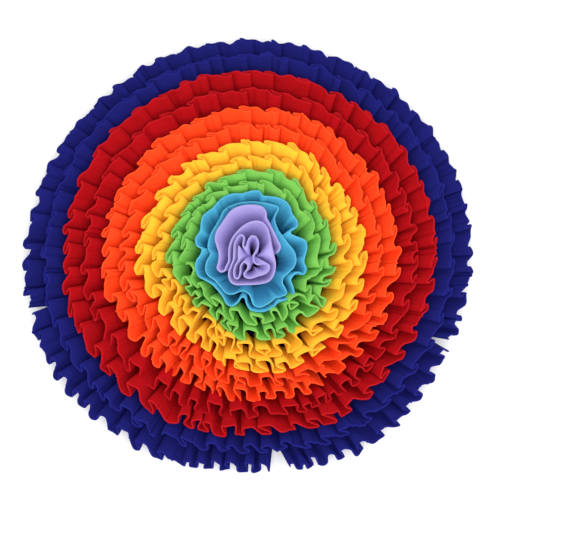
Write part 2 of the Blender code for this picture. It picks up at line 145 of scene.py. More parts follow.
SKY_OUTER_EDGE = (
    (-30.5, 50), (-25.5, 54), (-17.5, 56.5), (-8, 56.5), (2, 59.5), (9, 59.5), (13, 54.5), (19.5, 53.5),
    (28, 52.5), (36, 49), (40.5, 43), (42.5, 36), (47.5, 28.5), (48, 22.5), (44, 20), (41, 17.5),
    (42.5, 13.5), (48.5, 11), (56, 7.5), (57.5, 0.5), (55.5, -8), (54.5, -15), (57, -21.5), (54, -26.5),
    (49, -25), (44.5, -27.5), (41, -33), (43, -39), (44.5, -45.5), (41.5, -51), (34.5, -53), (28.5, -55),
    (23, -60), (15, -64), (7.5, -64.5), (0.5, -62.5), (-3, -57.5), (-5, -51.5), (-9, -51),
    (-12.5, -55.5), (-18, -59), (-23.5, -56.5), (-27, -50), (-32.5, -43), (-39, -36.5), (-45.5, -32.5),
    (-52, -28.5), (-55, -21), (-54, -13), (-50, -7), (-49, -1), (-54, 3), (-55, 10), (-50.5, 17.5),
    (-49.5, 25.5), (-47.5, 33.5), (-41.5, 38.5), (-37, 42.5), (-34.5, 45.5), (-32, 48.5),
)

ROSE_EDGE = (
    (28, -6.5), (30.5, -0.5), (27.5, 6.5), (24, 14), (20, 22.5), (16.5, 29.5), (16, 35.5), (12, 40.5),
    (4, 42.5), (-6, 42), (-14.5, 39.5), (-20.5, 35), (-24.5, 29), (-29.5, 21.5), (-33.5, 15), (-35, 7.5),
    (-33, -0.5), (-31, -8), (-31.5, -16), (-33, -22), (-30, -26), (-26, -25), (-24, -20.5),
    (-21.5, -15.5), (-21.5, -9), (-21, -1.5), (-18, 7.5), (-12, 15.5), (-4.5, 22), (4.5, 25.5),
    (12.5, 24), (17.5, 18), (20, 9.5), (22, 0), (24, -9), (25.5, -18.5), (24, -28), (19, -35.5),
    (8.5, -38.5), (-4, -39), (-14.5, -39), (-20, -35), (-21.5, -28), (-19.5, -21), (-17, -14.5),
    (-16.5, -6), (-15.5, 2.5), (-12.5, 9), (-9, 11.5), (-6, 9), (-7, 3.5), (-7, -0.5), (-4, -0.5),
    (-2, 5.5), (1.5, 10), (6, 9), (8.5, 3.5), (7, -3.5), (4, -10), (4, -15.5), (7.5, -19), (14, -18.5),
    (19, -19.5), (19.5, -24), (15, -28.5), (7, -31), (0, -33), (-5, -31.5), (-6, -28), (-3, -24),
    (-2.5, -19.5), (-6, -17), (-9.5, -20.5), (-10, -27), (-12, -33), (-15.5, -32), (-16.5, -26.5),
    (-15, -20), (-12, -14), (-12, -7), (-11.5, 0),
)
ROSE_SEAM = 17.0  # radius of the stitches that hold the rosette


class Cloth(Enum):
    """The mat's cloths, each named as the record's material slot for it."""

    BLUE = "blue"
    RED = "red"
    ORANGE = "orange"
    YELLOW = "yellow"
    GREEN = "green"
    SKY = "sky"
    LAVENDER = "lavender"
    BASE = "base"


def add_node(
    tree: bpy.types.NodeTree, kind: str, inputs: dict[str | int, object], **settings: str
) -> bpy.types.Node:
    """Add a shader node and feed it.

    Args:
        tree: The material's nodes.
        kind: The node's type, without the ShaderNode that it starts with.
        inputs: For each input, a value or another node's output.
        settings: The node's own settings.

    Returns:
        The new node.
    """
    node = tree.nodes.new(f"ShaderNode{kind}")
    for name, value in settings.items():
        setattr(node, name, value)
    for name, value in inputs.items():
        if isinstance(value, bpy.types.NodeSocket):
            tree.links.new(value, node.inputs[name])
        else:
            node.inputs[name].default_value = value
    return node


@dataclass(frozen=True)
class FleeceFinish:
    """One colour of brushed fleece, in linear RGB.

    The cloth is a little darker in the hollows of its nap than on its tips. Along its cut edge the
    colour blends to the cut colour, which is painted light: a painted highlight where it is lighter
    than the tips, for the fibre ends catching the light, and painted shade where it is darker, which
    tones down the rims that the light from above falls on.
    """

    hollow: Colour
    tip: Colour
    # cut: the cut edge's painted light, a painted highlight where lighter than tip, painted shade where
    # darker
    cut: Colour
    sheen_tint: Colour
    sheen: float = 0.55
    roughness: float = 0.95
    nap: float = 0.4

    # Each pattern's features to the metre, its detail and its roughness.
    TUFTS = (420.0, 3.0, 0.6)
    PATCHES = (45.0, 2.0, 0.5)
    FIBRES = (1500.0, 2.0, 0.7)
    TUFT_SHARE = 0.55
    PATCH_SHARE = 0.45
    FIBRE_RELIEF = 0.4
    PILE = (0.34, 0.66)  # the pattern's values at the hollows and at the tips
    PAINTED_EDGE_BAND = (0.1 * MM, 1.6 * MM)  # how far from the cut edge the painted highlight and painted shade of the cut colour reach
    RELIEF = 0.7 * MM

    def build(self, name: str) -> bpy.types.Material:
        """Make the fleece's node material.

        Args:
            name: The material's name.

        Returns:
            The material, whose pattern follows the cloth's own UV map in metres.
        """
        material = bpy.data.materials.new(name)
        material.use_nodes = True
        tree = material.node_tree
        place = add_node(tree, "UVMap", {}, uv_map=CLOTH_UV).outputs["UV"]
        tufts, patches, fibres = (
            add_node(
                tree, "TexNoise", {"Vector": place, "Scale": scale, "Detail": detail, "Roughness": rough}
            ).outputs["Fac"]
            for scale, detail, rough in (self.TUFTS, self.PATCHES, self.FIBRES)
        )
        weak = add_node(tree, "Math", {0: patches, 1: self.PATCH_SHARE}, operation="MULTIPLY")
        feeds = {0: tufts, 1: self.TUFT_SHARE, 2: weak.outputs[0]}
        blend = add_node(tree, "Math", feeds, operation="MULTIPLY_ADD")
        pile = add_node(tree, "ValToRGB", {"Fac": blend.outputs[0]})
        for stop, at, shade in zip(pile.color_ramp.elements, self.PILE, (self.hollow, self.tip)):
            stop.position = at
            stop.color = (*shade, 1.0)

        # Painted light along the cut edge: within the band the colour blends to the cut colour; lighter
        # cut colours are painted highlight, darker ones painted shade on the top-lit rims.
        inward = add_node(tree, "SeparateXYZ", {"Vector": place}).outputs["Y"]
        first, last = self.PAINTED_EDGE_BAND
        feeds = {"Value": inward, "From Min": first, "From Max": last, "To Min": 1.0, "To Max": 0.0}
        painted_edge_mask = add_node(tree, "MapRange", feeds, interpolation_type="SMOOTHSTEP")
        feeds = {0: painted_edge_mask.outputs["Result"], 6: pile.outputs["Color"], 7: (*self.cut, 1.0)}
        colour = add_node(tree, "Mix", feeds, data_type="RGBA")
        feeds = {0: fibres, 1: self.FIBRE_RELIEF, 2: tufts}
        relief = add_node(tree, "Math", feeds, operation="MULTIPLY_ADD")
        feeds = {"Height": relief.outputs[0], "Strength": self.nap, "Distance": self.RELIEF}
        bump = add_node(tree, "Bump", feeds)

        shader = tree.nodes["Principled BSDF"]
        shader.inputs["Roughness"].default_value = self.roughness
        shader.inputs["Sheen Weight"].default_value = self.sheen
        shader.inputs["Sheen Roughness"].default_value = 0.5
        shader.inputs["Sheen Tint"].default_value = (*self.sheen_tint, 1.0)
        shader.inputs["Specular IOR Level"].default_value = 0.08
        tree.links.new(colour.outputs[2], shader.inputs["Base Color"])
        tree.links.new(bump.outputs["Normal"], shader.inputs["Normal"])
        return material


# Each finish: nap hollows, nap tips, the cut edge's painted light (lighter than the tips is painted
# highlight, darker is painted shade on the top-lit rims) and sheen tint.
FINISHES = {
    Cloth.BLUE: FleeceFinish(
        (0.0078, 0.0086, 0.1), (0.0108, 0.012, 0.155), (0.011, 0.012, 0.16), (0.02, 0.03, 0.4)
    ),
    Cloth.RED: FleeceFinish(
        (0.29, 0.0016, 0.0035), (0.4, 0.0028, 0.0065), (0.42, 0.006, 0.01), (0.8, 0.01, 0.02)
    ),
    Cloth.ORANGE: FleeceFinish(
        (0.86, 0.05, 0.008), (0.96, 0.068, 0.013), (0.9, 0.07, 0.015), (1.0, 0.12, 0.02)
    ),
    Cloth.YELLOW: FleeceFinish(
        (0.98, 0.49, 0.026), (1.0, 0.57, 0.04), (0.9, 0.43, 0.032), (1.0, 0.62, 0.07)
    ),
    Cloth.GREEN: FleeceFinish(
        (0.18, 0.5, 0.078), (0.25, 0.62, 0.115), (0.185, 0.46, 0.088), (0.28, 0.85, 0.16)
    ),
    Cloth.SKY: FleeceFinish(
        (0.072, 0.41, 0.59), (0.096, 0.5, 0.71), (0.086, 0.385, 0.56), (0.12, 0.62, 0.95)
    ),
    Cloth.LAVENDER: FleeceFinish(
        (0.38, 0.31, 0.63), (0.45, 0.385, 0.74), (0.34, 0.3, 0.59), (0.6, 0.5, 1.0)
    ),
    Cloth.BASE: FleeceFinish(
        (0.007, 0.009, 0.055), (0.012, 0.014, 0.09), (0.012, 0.014, 0.09), (0.04, 0.04, 0.2)
    ),
}
THREAD = FleeceFinish(
    (0.014, 0.018, 0.11), (0.024, 0.03, 0.18), (0.024, 0.03, 0.18), (0.1, 0.1, 0.4), 0.2, 0.6
)


def read_table(table: Sequence[tuple[float, float]], at: np.ndarray) -> np.ndarray:
    """Read a table of places and values that closes on itself at 360.

    Args:
        table: Rows of place and value, in order.
        at: The places to read it at.

    Returns:
        The values there, with soft bends from one row to the next.
    """
    places = np.array([row[0] for row in table] + [360.0 + table[0][0]])
    values = np.array([row[1] for row in table] + [table[0][1]], float)
    turn = at % 360.0
    row = np.clip(np.searchsorted(places, turn, side="right") - 1, 0, len(table) - 1)
    share = (turn - places[row]) / (places[row + 1] - places[row])
    return values[row] + (values[row + 1] - values[row]) * (1 - np.cos(np.pi * share)) / 2


def ripple(rng: random.Random, counts: Sequence[int]) -> Wave:
    """Make a smooth uneven wave round the mat.

    Args:
        rng: Where the wave's parts take their sizes and places from.
        counts: How many times each part of the wave rises in one turn.

    Returns:
        A function of clock angles, between about -1 and 1.
    """
    terms = [(n, rng.uniform(0, 2 * math.pi), rng.uniform(0.6, 1.0)) for n in counts]
    total = sum(size for _, _, size in terms)
    return lambda clock: sum(s * np.sin(n * np.radians(clock) + p) for n, p, s in terms) / total


def nearness(clock: np.ndarray, fade: float = NEAR_FADE) -> np.ndarray:
    """Tell how close a clock angle is to the mat's near side, from 0 to 1.

    Args:
        clock: Clock angles in degrees.
        fade: Above 1, only places close to the nearest point count.

    Returns:
        0 on the far side, rising to 1 at the nearest point.
    """
    return ((1 - np.cos(np.radians(clock))) / 2) ** fade


def soften(values: np.ndarray, spacing: float, width: float) -> np.ndarray:
    """Smooth a closed run of evenly spaced values by a bell curve.

    Args:
        values: The run, whose last value leads back to its first.
        spacing: The distance from one value to the next.
        width: The bell's standard deviation.

    Returns:
        The smoothed run.
    """
    frequency = np.fft.rfftfreq(len(values), spacing)
    bell = np.exp(-2 * (math.pi * width * frequency) ** 2)
    return np.fft.irfft(np.fft.rfft(values) * bell, len(values))


def smooth_path(knots: Path, per_span: int) -> np.ndarray:
    """Run a smooth curve through knots.

    Args:
        knots: The places that it passes, in order.
        per_span: How many points it has from one knot to the next.

    Returns:
        The curve's points.
    """
    points: list[tuple[float, float]] = []
    for index in range(len(knots) - 1):
        a, b = knots[index], knots[index + 1]
        before = knots[max(index - 1, 0)]
        after = knots[min(index + 2, len(knots) - 1)]
        lead = [a[i] + (b[i] - before[i]) / 6 for i in (0, 1)]
        tail = [b[i] - (after[i] - a[i]) / 6 for i in (0, 1)]
        run = interpolate_bezier((*a, 0), (*lead, 0), (*tail, 0), (*b, 0), per_span + 1)
        points += [(p.x, p.y) for p in run[:-1]]
    return np.array([*points, knots[-1]])


def lengths_along(line: np.ndarray) -> np.ndarray:
    """Measure how far along a line each of its points lies.

    Args:
        line: The points, by row.

    Returns:
        Each one's distance from the first, along the line.
    """
    return np.concatenate([[0], np.cumsum(np.hypot(*np.diff(line, axis=0).T))])


def crease(away: np.ndarray) -> np.ndarray:
    """Shape a small crease, with the low rise that it pushes up on both sides.

    Args:
        away: How far it is to the crease's middle, in its own widths.

    Returns:
        Its depth, less than nothing on the rises.
    """
    return np.exp(-(away**2)) - 0.45 * np.exp(-(away**2) / 7)


def crest_offset(pitch: float, cloth: float, depth: float) -> float:
    """Find how far round a pleat's fold lies from its start.

    Args:
        pitch: The length that the pleat covers.
        cloth: The length of cloth in it.
        depth: How far its fold stands off.

    Returns:
        The distance of the fold from the pleat's start, past the next one's in a knife pleat.
    """
    share = pitch / cloth
    half_height = math.sqrt(max(1 - share * share, 0.0)) / 2
    rise = min(depth / cloth / half_height, 0.999)
    return cloth * (share + math.sqrt(1 - rise * rise)) / 2


def split(point: Point, before: Point, after: Point, width: float) -> Path:
    """Part a fold's point into the two corners of its blunt end.

    Args:
        point: The fold's sharp point.
        before: The corner before it.
        after: The corner after it.
        width: How wide the blunt end is where the fold stands up.

    Returns:
        The corner on the arriving layer and the one on the leaving layer.
    """
    a = math.hypot(point[0] - before[0], point[1] - before[1])
    b = math.hypot(point[0] - after[0], point[1] - after[1])
    across = (
        (point[1] - before[1]) / a + (point[1] - after[1]) / b,
        -(point[0] - before[0]) / a - (point[0] - after[0]) / b,
    )
    size = math.hypot(*across) or 1.0
    turn = (point[0] - before[0]) * (after[1] - point[1])
    turn -= (point[1] - before[1]) * (after[0] - point[0])
    side = math.copysign(0.5 / size, turn)
    along, off = across[0] * side * width, across[1] * side * LAYERS
    return (point[0] + along, point[1] + off), (point[0] - along, point[1] - off)


def add_piece(name: str, points: np.ndarray, faces: Sequence) -> bpy.types.Object:
    """Make a smooth-shaded piece of points and faces.

    Args:
        name: The new object's name.
        points: The points' places in metres, by row.
        faces: The numbers of the points at each face's corners.

    Returns:
        The piece.
    """
    mesh = bpy.data.meshes.new(name)
    mesh.from_pydata(points.tolist(), [], faces)
    mesh.polygons.foreach_set("use_smooth", np.ones(len(mesh.polygons), bool))
    piece = bpy.data.objects.new(name, mesh)
    bpy.context.scene.collection.objects.link(piece)
    return piece


def lay_uv(mesh: bpy.types.Mesh, flat: np.ndarray) -> None:
    """Give a mesh the UV map that its cloth's pattern follows.

    Args:
        mesh: The piece's mesh.
        flat: Each point's place on the flat cloth in metres, by row.
    """
    corner = np.empty(len(mesh.loops), np.int32)
    mesh.loops.foreach_get("vertex_index", corner)
    uv = mesh.uv_layers.new(name=CLOTH_UV)
    uv.data.foreach_set("uv", flat[corner].astype(np.float32).ravel())


def thicken(piece: bpy.types.Object, thickness: float, fullness: np.ndarray) -> None:
    """Give a sheet its thickness, half on each side, and thin it where its edge is rounded.

    Args:
        piece: The open sheet.
        thickness: The cloth's thickness in millimetres.
        fullness: Each vertex's share of that thickness.
    """
    group = piece.vertex_groups.new(name="thickness")
    for level in np.unique(fullness):
        group.add(np.flatnonzero(fullness == level).tolist(), float(level), "REPLACE")
    solid = piece.modifiers.new("Fleece", "SOLIDIFY")
    solid.thickness = thickness * MM
    solid.offset = 0.0
    solid.vertex_group = group.name
    solid.use_quality_normals = True
    bpy.context.view_layer.objects.active = piece
    with bpy.context.temp_override(object=piece, active_object=piece, selected_objects=[piece]):
        bpy.ops.object.modifier_apply(modifier=solid.name)


@dataclass(frozen=True)
class Strip:
    """A straight strip of fleece that is sewn down along one edge."""

    name: str
    cloth: Cloth
    width: float

    EDGE_ROWS = ((0.965, 1.0), (0.985, 0.92), (1.0, 0.6))  # share of the width, of the thickness

    @staticmethod
    def shares(rows: Sequence[float]) -> np.ndarray:
        """Give each row's share of the width, from the sewn edge to the rounded cut edge."""
        return np.array([*rows, *(share for share, _ in Strip.EDGE_ROWS)])

    def sew(
        self, points: np.ndarray, run: np.ndarray, shares: np.ndarray, finish: bpy.types.Material
    ) -> None:
        """Make the strip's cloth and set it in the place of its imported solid.

        Args:
            points: Places in millimetres, by row, column and axis, from the sewn edge.
            run: The length of cloth up to each column, in millimetres.
            shares: Each row's share of the strip's width.
            finish: The cloth's material.
        """
        index = np.arange(points.size // 3).reshape(points.shape[:2])
        faces = np.stack([index[:-1, :-1], index[:-1, 1:], index[1:, 1:], index[1:, :-1]], axis=-1)
        name = f"{self.name}_cloth"
        piece = add_piece(name, (points * MM).reshape(-1, 3), faces.reshape(-1, 4).tolist())
        inward = (1 - shares) * self.width
        flat = np.stack(np.broadcast_arrays(run[None, :], inward[:, None]), axis=-1)
        lay_uv(piece.data, (flat * MM).reshape(-1, 2))
        fullness = np.ones(index.shape)
        for share, thickness in self.EDGE_ROWS:
            fullness[np.isclose(shares, share)] = thickness
        thicken(piece, FLEECE, fullness.ravel())
        piece.data.materials.append(finish)
        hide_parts(self.name)
        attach(piece, BODY)


@dataclass(frozen=True)
class Fold:
    """One pleat in a ring: where it starts, what it covers, and how it differs from the rest."""

    start: float
    sweep: float
    depth: float
    cloth: float


@dataclass(frozen=True)
class Softness:
    """How round and how even the folds are at the free edge, in millimetres."""

    far: float
    near: float
    wander: float
    stray: float  # how far a fold leans along the ring at its free edge
    deeper: float  # how much further the near waves stand off, as a share
    ragged: float  # how unevenly the folds end
    pressed: float  # how much flatter the far folds lie, as a share
    fade: float  # below 1, the waves open further round from the near side
    bow: float  # how far the cloth bows inwards between its two edges
    belly: float  # how much deeper the folds are between the two edges, as a share
    crease: float  # how deep the small creases across the pleats' faces are
    loop: float  # how much wider the near waves are at their ends, which makes them loops


@dataclass(frozen=True)
class RuffleRing:
    """One ring of pleated ruffle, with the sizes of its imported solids."""

    name: str
    cloth: Cloth
    seed: int
    pleats: int
    root_radius: float
    root_lean: float  # degrees out from upright
    edge_lean: float
    width: float
    fullness: float  # length of its cloth, times the length that it covers
    edge_depth: float
    facets: int  # of a pleat's face in the solid
    ends: Path  # where strips meet, and by how much they are pulled apart, in degrees
    softness: Softness
    scallop: float = 0.0  # how much less far out a fold ends, times its height

    ROWS = (0.0, 0.2, 0.4, 0.58, 0.74, 0.86, 0.93)
    COLUMN = 0.85  # from one column to the next, along the free edge
    STEP = 0.4  # from one place to the next on a line that is softened
    ROOT_SOFTNESS = 0.9
    CORNERS = 4  # to a pleat
    STRAY_OFF = 0.5  # greatest stray off the ring, as a share of that along it
    STRAY_LESS = 0.4  # how much less the near folds stray along it
    LOOP_SIZES = (0.2, 1.5)
    CREASE_SPANS = ((0.12, 0.42), (0.52, 0.9))  # where on a pleat's face each crease may be
    CREASE_DEPTHS = (0, 0, 0.6, 1.0)
    CREASE_WIDTHS = (0.04, 0.085)
    ROOT_CREASES = 0.5  # how deep they are at the sewn edge, as a share
    WANDER_LENGTHS = (53.0, 31.0, 19.0)
    FAR_WANDER = 0.4  # how much of the near folds' wander the far ones have
    RAGGED_WAVES = (0.42, 0.83, 1.31)  # to a pleat
    BOW_POWERS = (0.6, 1.3)  # of the shares below and above, so the bow is greatest low down
    BOW_SCALE = 3.27  # which makes the greatest 1
    RAGGED_SEED, STRAY_SEED, CREASE_SEED, LOOP_SEED, WANDER_SEED = 300, 500, 700, 900, 1000

    def carrier(
        self, share: float, lean_by: Values = 0.0, longer: Values = 0.0
    ) -> tuple[Values, Values, Values]:
        """Find the ring's middle surface.

        Args:
            share: The share of the strip's width, from its sewn edge.
            lean_by: How much more it leans, in degrees.
            longer: How much wider the strip is.

        Returns:
            The radius, the height and the lean in radians.
        """
        first = np.radians(self.root_lean + lean_by)
        bend = math.radians(self.edge_lean - self.root_lean) or 1e-6
        lean = first + bend * share
        reach = (self.width + longer) / bend
        stack = (ROOT_DEPTH + LAYERS) / 2 * np.sin(ROOT_TILT * first)
        root_height = BASE_THICKNESS + GAP + stack + FLEECE / 2 * (np.sin(first) + ROOT_LIFT)
        radius = self.root_radius + reach * (np.cos(first) - np.cos(lean))
        height = root_height + reach * (np.sin(lean) - np.sin(first))
        return radius, height, lean

    @cached_property
    def _drawn(self) -> tuple[list[Fold], Wave, Wave]:
        """Draw what is uneven about the ring.

        Returns:
            Its folds, its own sway and the unevenness of its cut edge.
        """
        rng = random.Random(self.seed)
        drawn = [rng.uniform(*PLEAT_SIZES) for _ in range(self.pleats)]
        first = self.ends[0][0]
        shares = []
        for index, size in enumerate(drawn):
            even = size + (drawn[index - 1] - size) * LIKE_THE_LAST
            near = float(nearness(first + 360 * index / self.pleats))
            shares.append(even * (1 - NEAR_PLEATS * near))
        scale = 360.0 / sum(shares)
        edge_radius = float(self.carrier(1.0)[0])
        mean_pitch = edge_radius * math.tau / self.pleats
        folds, clock = [], first
        for index, share in enumerate(shares):
            pitch = edge_radius * math.radians(share * scale)
            smaller = min(share, shares[(index + 1) % self.pleats]) / share * pitch
            turned_under = smaller + (mean_pitch - smaller) * EVEN_CLOTH
            cloth = pitch + (self.fullness - 1) * turned_under
            folds.append(Fold(clock, share * scale, rng.uniform(*PLEAT_DEPTHS), cloth))
            clock += share * scale
        return folds, ripple(rng, OWN_WAVES), ripple(rng, CUT_WAVES)

    def corners(self, share: float) -> np.ndarray:
        """Work out the pleats' corners at one share of the strip's width.

        Args:
            share: The share of the strip's width, from its sewn edge.

        Returns:
            Places along the ring and off its middle surface in millimetres: four to a pleat, where
            its face starts, the two ends of its fold, and where the layer beneath ends.
        """
        folds = self._drawn[0]
        radius = float(self.carrier(share)[0])
        per_degree = radius * math.pi / 180
        bases, widths, alongs = [], [], []
        for fold in folds:
            near = float(nearness(fold.start, self.softness.fade))
            pitch = fold.sweep * per_degree
            even = ROOT_DEPTH + (self.edge_depth - ROOT_DEPTH) * share
            bases.append(even * (1 + NEAR_DEEPER * near * share))
            widths.append(max(LAYERS, pitch * NEAR_OPEN * near * share))
            cloth = fold.cloth * (1 - NEAR_EASE * near * (1 - share))
            cloth = max(cloth - (widths[-1] - LAYERS) * NEAR_SPARE, pitch * LEAST_CLOTH)
            alongs.append(crest_offset(pitch, cloth, bases[-1] * fold.depth))
        valleys, crests = [], []
        for index, fold in enumerate(folds):
            following = alongs[(index + 1) % len(folds)]
            overlap = max(alongs[index] - fold.sweep * per_degree, 0.0) / following
            flat_sag = (following / self.facets) ** 2 / (8 * radius)
            least = (CLEAR + flat_sag + LAYERS * overlap) / (1 - overlap)
            foot = -bases[index] / 2
            start = fold.start * per_degree
            far = 1 - float(nearness(fold.start, self.softness.fade))
            pressed = self.softness.pressed * far * share
            height = max(bases[index] * fold.depth * (1 - pressed), least)
            valleys.append((start, foot))
            crests.append((start + alongs[index], foot + height))
        around = 360.0 * per_degree
        placed = []
        for index in range(len(folds)):
            turn, back_turn = around * (index == len(folds) - 1), -around * (index == 0)
            after = (index + 1) % len(folds)
            following = (valleys[after][0] + turn, valleys[after][1])
            earlier = (crests[index - 1][0] + back_turn, crests[index - 1][1])
            later = (crests[after][0] + turn, crests[after][1])
            behind = (widths[index - 1] + widths[index]) / 2
            ahead = (widths[index] + widths[after]) / 2
            _, rising = split(valleys[index], earlier, crests[index], behind)
            over, under = split(crests[index], valleys[index], following, widths[index])
            back, _ = split(following, crests[index], later, ahead)
            placed += [rising, over, under, back]
        return np.array(placed) + self._strays(share)

    def _strays(self, share: float) -> np.ndarray:
        """Lean each pleat's fold a little along the ring, and stand it off a little more.

        Args:
            share: The share of the strip's width, from its sewn edge.

        Returns:
            How far each corner moves along the ring and off it.
        """
        rng = random.Random(self.seed + self.STRAY_SEED)
        strays = np.zeros((len(self._drawn[0]), self.CORNERS, 2))
        for stray, fold in zip(strays, self._drawn[0]):
            less = 1 - self.STRAY_LESS * float(nearness(fold.start, self.softness.fade))
            along = rng.uniform(-1, 1) * self.softness.stray * share * less
            stray[1:3] = (along, rng.uniform(0, self.STRAY_OFF) * self.softness.stray * share)
        return strays.reshape(-1, 2)

    def line(self, share: float, marks: np.ndarray) -> tuple[np.ndarray, np.ndarray]:
        """Run the softened line of the cloth round the ring at its sewn or its free edge.

        Args:
            share: The share of the strip's width, from its sewn edge.
            marks: The columns' places, as corner numbers.

        Returns:
            Each column's clock angle, and its height off the middle surface in millimetres.
        """
        corners = self.corners(share)
        around = float(self.carrier(share)[0]) * math.tau
        closed = np.vstack([corners, corners[:1] + (around, 0)])
        lengths = lengths_along(closed)
        count = round(lengths[-1] / self.STEP)
        spacing = lengths[-1] / count
        even = np.arange(count) * spacing
        slope = around / lengths[-1]
        along = np.interp(even, lengths, closed[:, 0]) - even * slope
        rise = np.interp(even, lengths, closed[:, 1])
        clock = np.degrees((along + even * slope) / around * math.tau)
        near = nearness(clock, self.softness.fade)
        wander_here = (self.FAR_WANDER + (1 - self.FAR_WANDER) * near) * share
        wander = self._wander(even, lengths[-1], wander_here)
        at = np.interp(marks, np.arange(len(lengths)), lengths)
        softened = []
        for run, strayed in zip((along, rise), wander):
            root = self.ROOT_SOFTNESS * (1 - share)
            far = soften(run, spacing, root + self.softness.far * share)
            close = soften(run, spacing, root + self.softness.near * share)
            smooth = far + (close - far) * near + strayed
            if run is rise:
                smooth *= 1 + self.softness.deeper * near * share
            softened.append(np.interp(at, np.append(even, lengths[-1]), np.append(smooth, smooth[0])))
        loops = self._loops(marks, clock[0]) * share
        clock = np.degrees((softened[0] + loops + at * slope) / around * math.tau)
        creased = self.ROOT_CREASES + (1 - self.ROOT_CREASES) * share
        return clock, softened[1] - self._creases(marks) * creased

    def _loops(self, marks: np.ndarray, first: float) -> np.ndarray:
        """Widen the waves at their ends, which makes them loops.

        Args:
            marks: The columns' places, as corner numbers.
            first: The clock angle of the first place on the line.

        Returns:
            How far each column moves along the ring.
        """
        rng = random.Random(self.seed + self.LOOP_SEED)
        sizes = np.array([rng.uniform(*self.LOOP_SIZES) for _ in self._drawn[0]])
        sizes = sizes[((marks + 0.5) // self.CORNERS).astype(int) % len(sizes)]
        starts = [fold.start for fold in self._drawn[0]] + [first + 360.0]
        clock = np.interp(marks / self.CORNERS, np.arange(len(starts)), starts)
        near = nearness(clock, self.softness.fade)
        open_by = self.softness.loop * (FAR_LOOPS + (1 - FAR_LOOPS) * near)
        return np.sin(math.pi * (marks - 1.5)) * sizes * open_by

    def _creases(self, marks: np.ndarray) -> np.ndarray:
        """Press small creases across the pleats' faces.

        Args:
            marks: The columns' places, as corner numbers.

        Returns:
            The creases' depth at each column.
        """
        rng = random.Random(self.seed + self.CREASE_SEED)
        count = len(self._drawn[0])
        pleat = (marks // self.CORNERS).astype(int) % count
        along = marks - self.CORNERS * (marks // self.CORNERS)
        depth = np.zeros(len(marks))
        for span in self.CREASE_SPANS:
            places = np.array([rng.uniform(*span) for _ in range(count)])[pleat]
            depths = np.array([rng.choice(self.CREASE_DEPTHS) for _ in range(count)])[pleat]
            widths = np.array([rng.uniform(*self.CREASE_WIDTHS) for _ in range(count)])[pleat]
            depth += depths * crease((along - places) / widths)
        return depth * self.softness.crease

    def _wander(self, run: np.ndarray, total: float, weight: np.ndarray) -> list[np.ndarray]:
        """Make the small uneven waves that the free edge strays by.

        Args:
            run: The length of the line up to each of its places.
            total: The line's whole length.
            weight: How much of the waves each place has.

        Returns:
            How far each place strays along the ring, and how far off it.
        """
        rng = random.Random(self.seed + self.WANDER_SEED)
        counts = [round(total / length) for length in self.WANDER_LENGTHS]
        waves = [ripple(rng, counts)(run / total * 360.0) for _ in ("along", "off")]
        return [wave * self.softness.wander * weight for wave in waves]

    def _place(self, clock: np.ndarray, rise: np.ndarray, share: float) -> np.ndarray:
        """Place a line's points in the mat.

        Args:
            clock: The points' clock angles.
            rise: Their heights off the ring's middle surface.
            share: The share of the strip's width, from its sewn edge.

        Returns:
            The points in millimetres, by row.
        """
        _, own_sway, cut = self._drawn
        sway = ripple(random.Random(SWAY_SEED), SWAY_WAVES)
        lean_by = SWAY * sway(clock) + OWN_SWAY * own_sway(clock)
        jostle = ripple(random.Random(SWAY_SEED + 1), JOSTLE_WAVES)
        lean_by = lean_by + JOSTLE * jostle(clock + self.root_radius * JOSTLE_TURN) * share
        counts = [round(self.pleats * times) for times in self.RAGGED_WAVES]
        ragged = ripple(random.Random(self.seed + self.RAGGED_SEED), counts)(clock)
        longer = UNEVEN_CUT * cut(clock) + self.softness.ragged * ragged - self.scallop * rise
        radius, height, lean = self.carrier(share, lean_by, longer)
        outward = read_table(OUTLINE, clock) / MAT_RADIUS - 1
        radius = radius * (1 + outward * (radius / MAT_RADIUS) ** OUTLINE_FADE)
        tilt = lean * (ROOT_TILT + (1 - ROOT_TILT) * share)
        radius = radius - rise * np.cos(tilt)
        radius = radius + read_table(DRIFT, clock) * read_table(DRIFT_SHARE, radius)
        angle = np.radians(clock)
        return np.stack(
            [radius * np.sin(angle), radius * np.cos(angle), height + rise * np.sin(tilt)], axis=1
        )

    def _bowed(self, sewn: np.ndarray, free: np.ndarray, rise: np.ndarray) -> np.ndarray:
        """Bow the cloth inwards between its two edges, more where it stands off more.

        Args:
            sewn: The columns' points at the sewn edge.
            free: Their points at the free edge.
            rise: The free edge's heights off the ring's middle surface.

        Returns:
            How far each column bows where it bows most.
        """
        up = free[:, 2] - sewn[:, 2]
        out = np.hypot(*free[:, :2].T) - np.hypot(*sewn[:, :2].T)
        length = np.hypot(up, out)
        inward = -sewn[:, :2] / np.hypot(*sewn[:, :2].T)[:, None] * (up / length)[:, None]
        bow = self.softness.bow + self.softness.belly * rise
        return np.column_stack([inward, out / length]) * bow[:, None]

    def _strips(self) -> list[tuple[str, int, int, float, float]]:
        """Part the ring where its strips meet.

        Returns:
            Each strip's name, its first and last pleats, and the degrees that its first and its
            last end are pulled by.
        """
        folds = self._drawn[0]
        starts = [
            min(range(len(folds)), key=lambda index: abs(folds[index].start - end))
            for end, _ in self.ends
        ]
        strips = []
        for index, first in enumerate(starts):
            last = (starts[index + 1] if index + 1 < len(starts) else len(folds)) - 1
            name = self.name + ("_" + "abc"[index] if len(starts) > 1 else "")
            before = self.ends[index][1] * (1 - PULL_LAST)
            after = self.ends[(index + 1) % len(starts)][1] * PULL_LAST
            strips.append((name, first, last, before, after))
        return strips

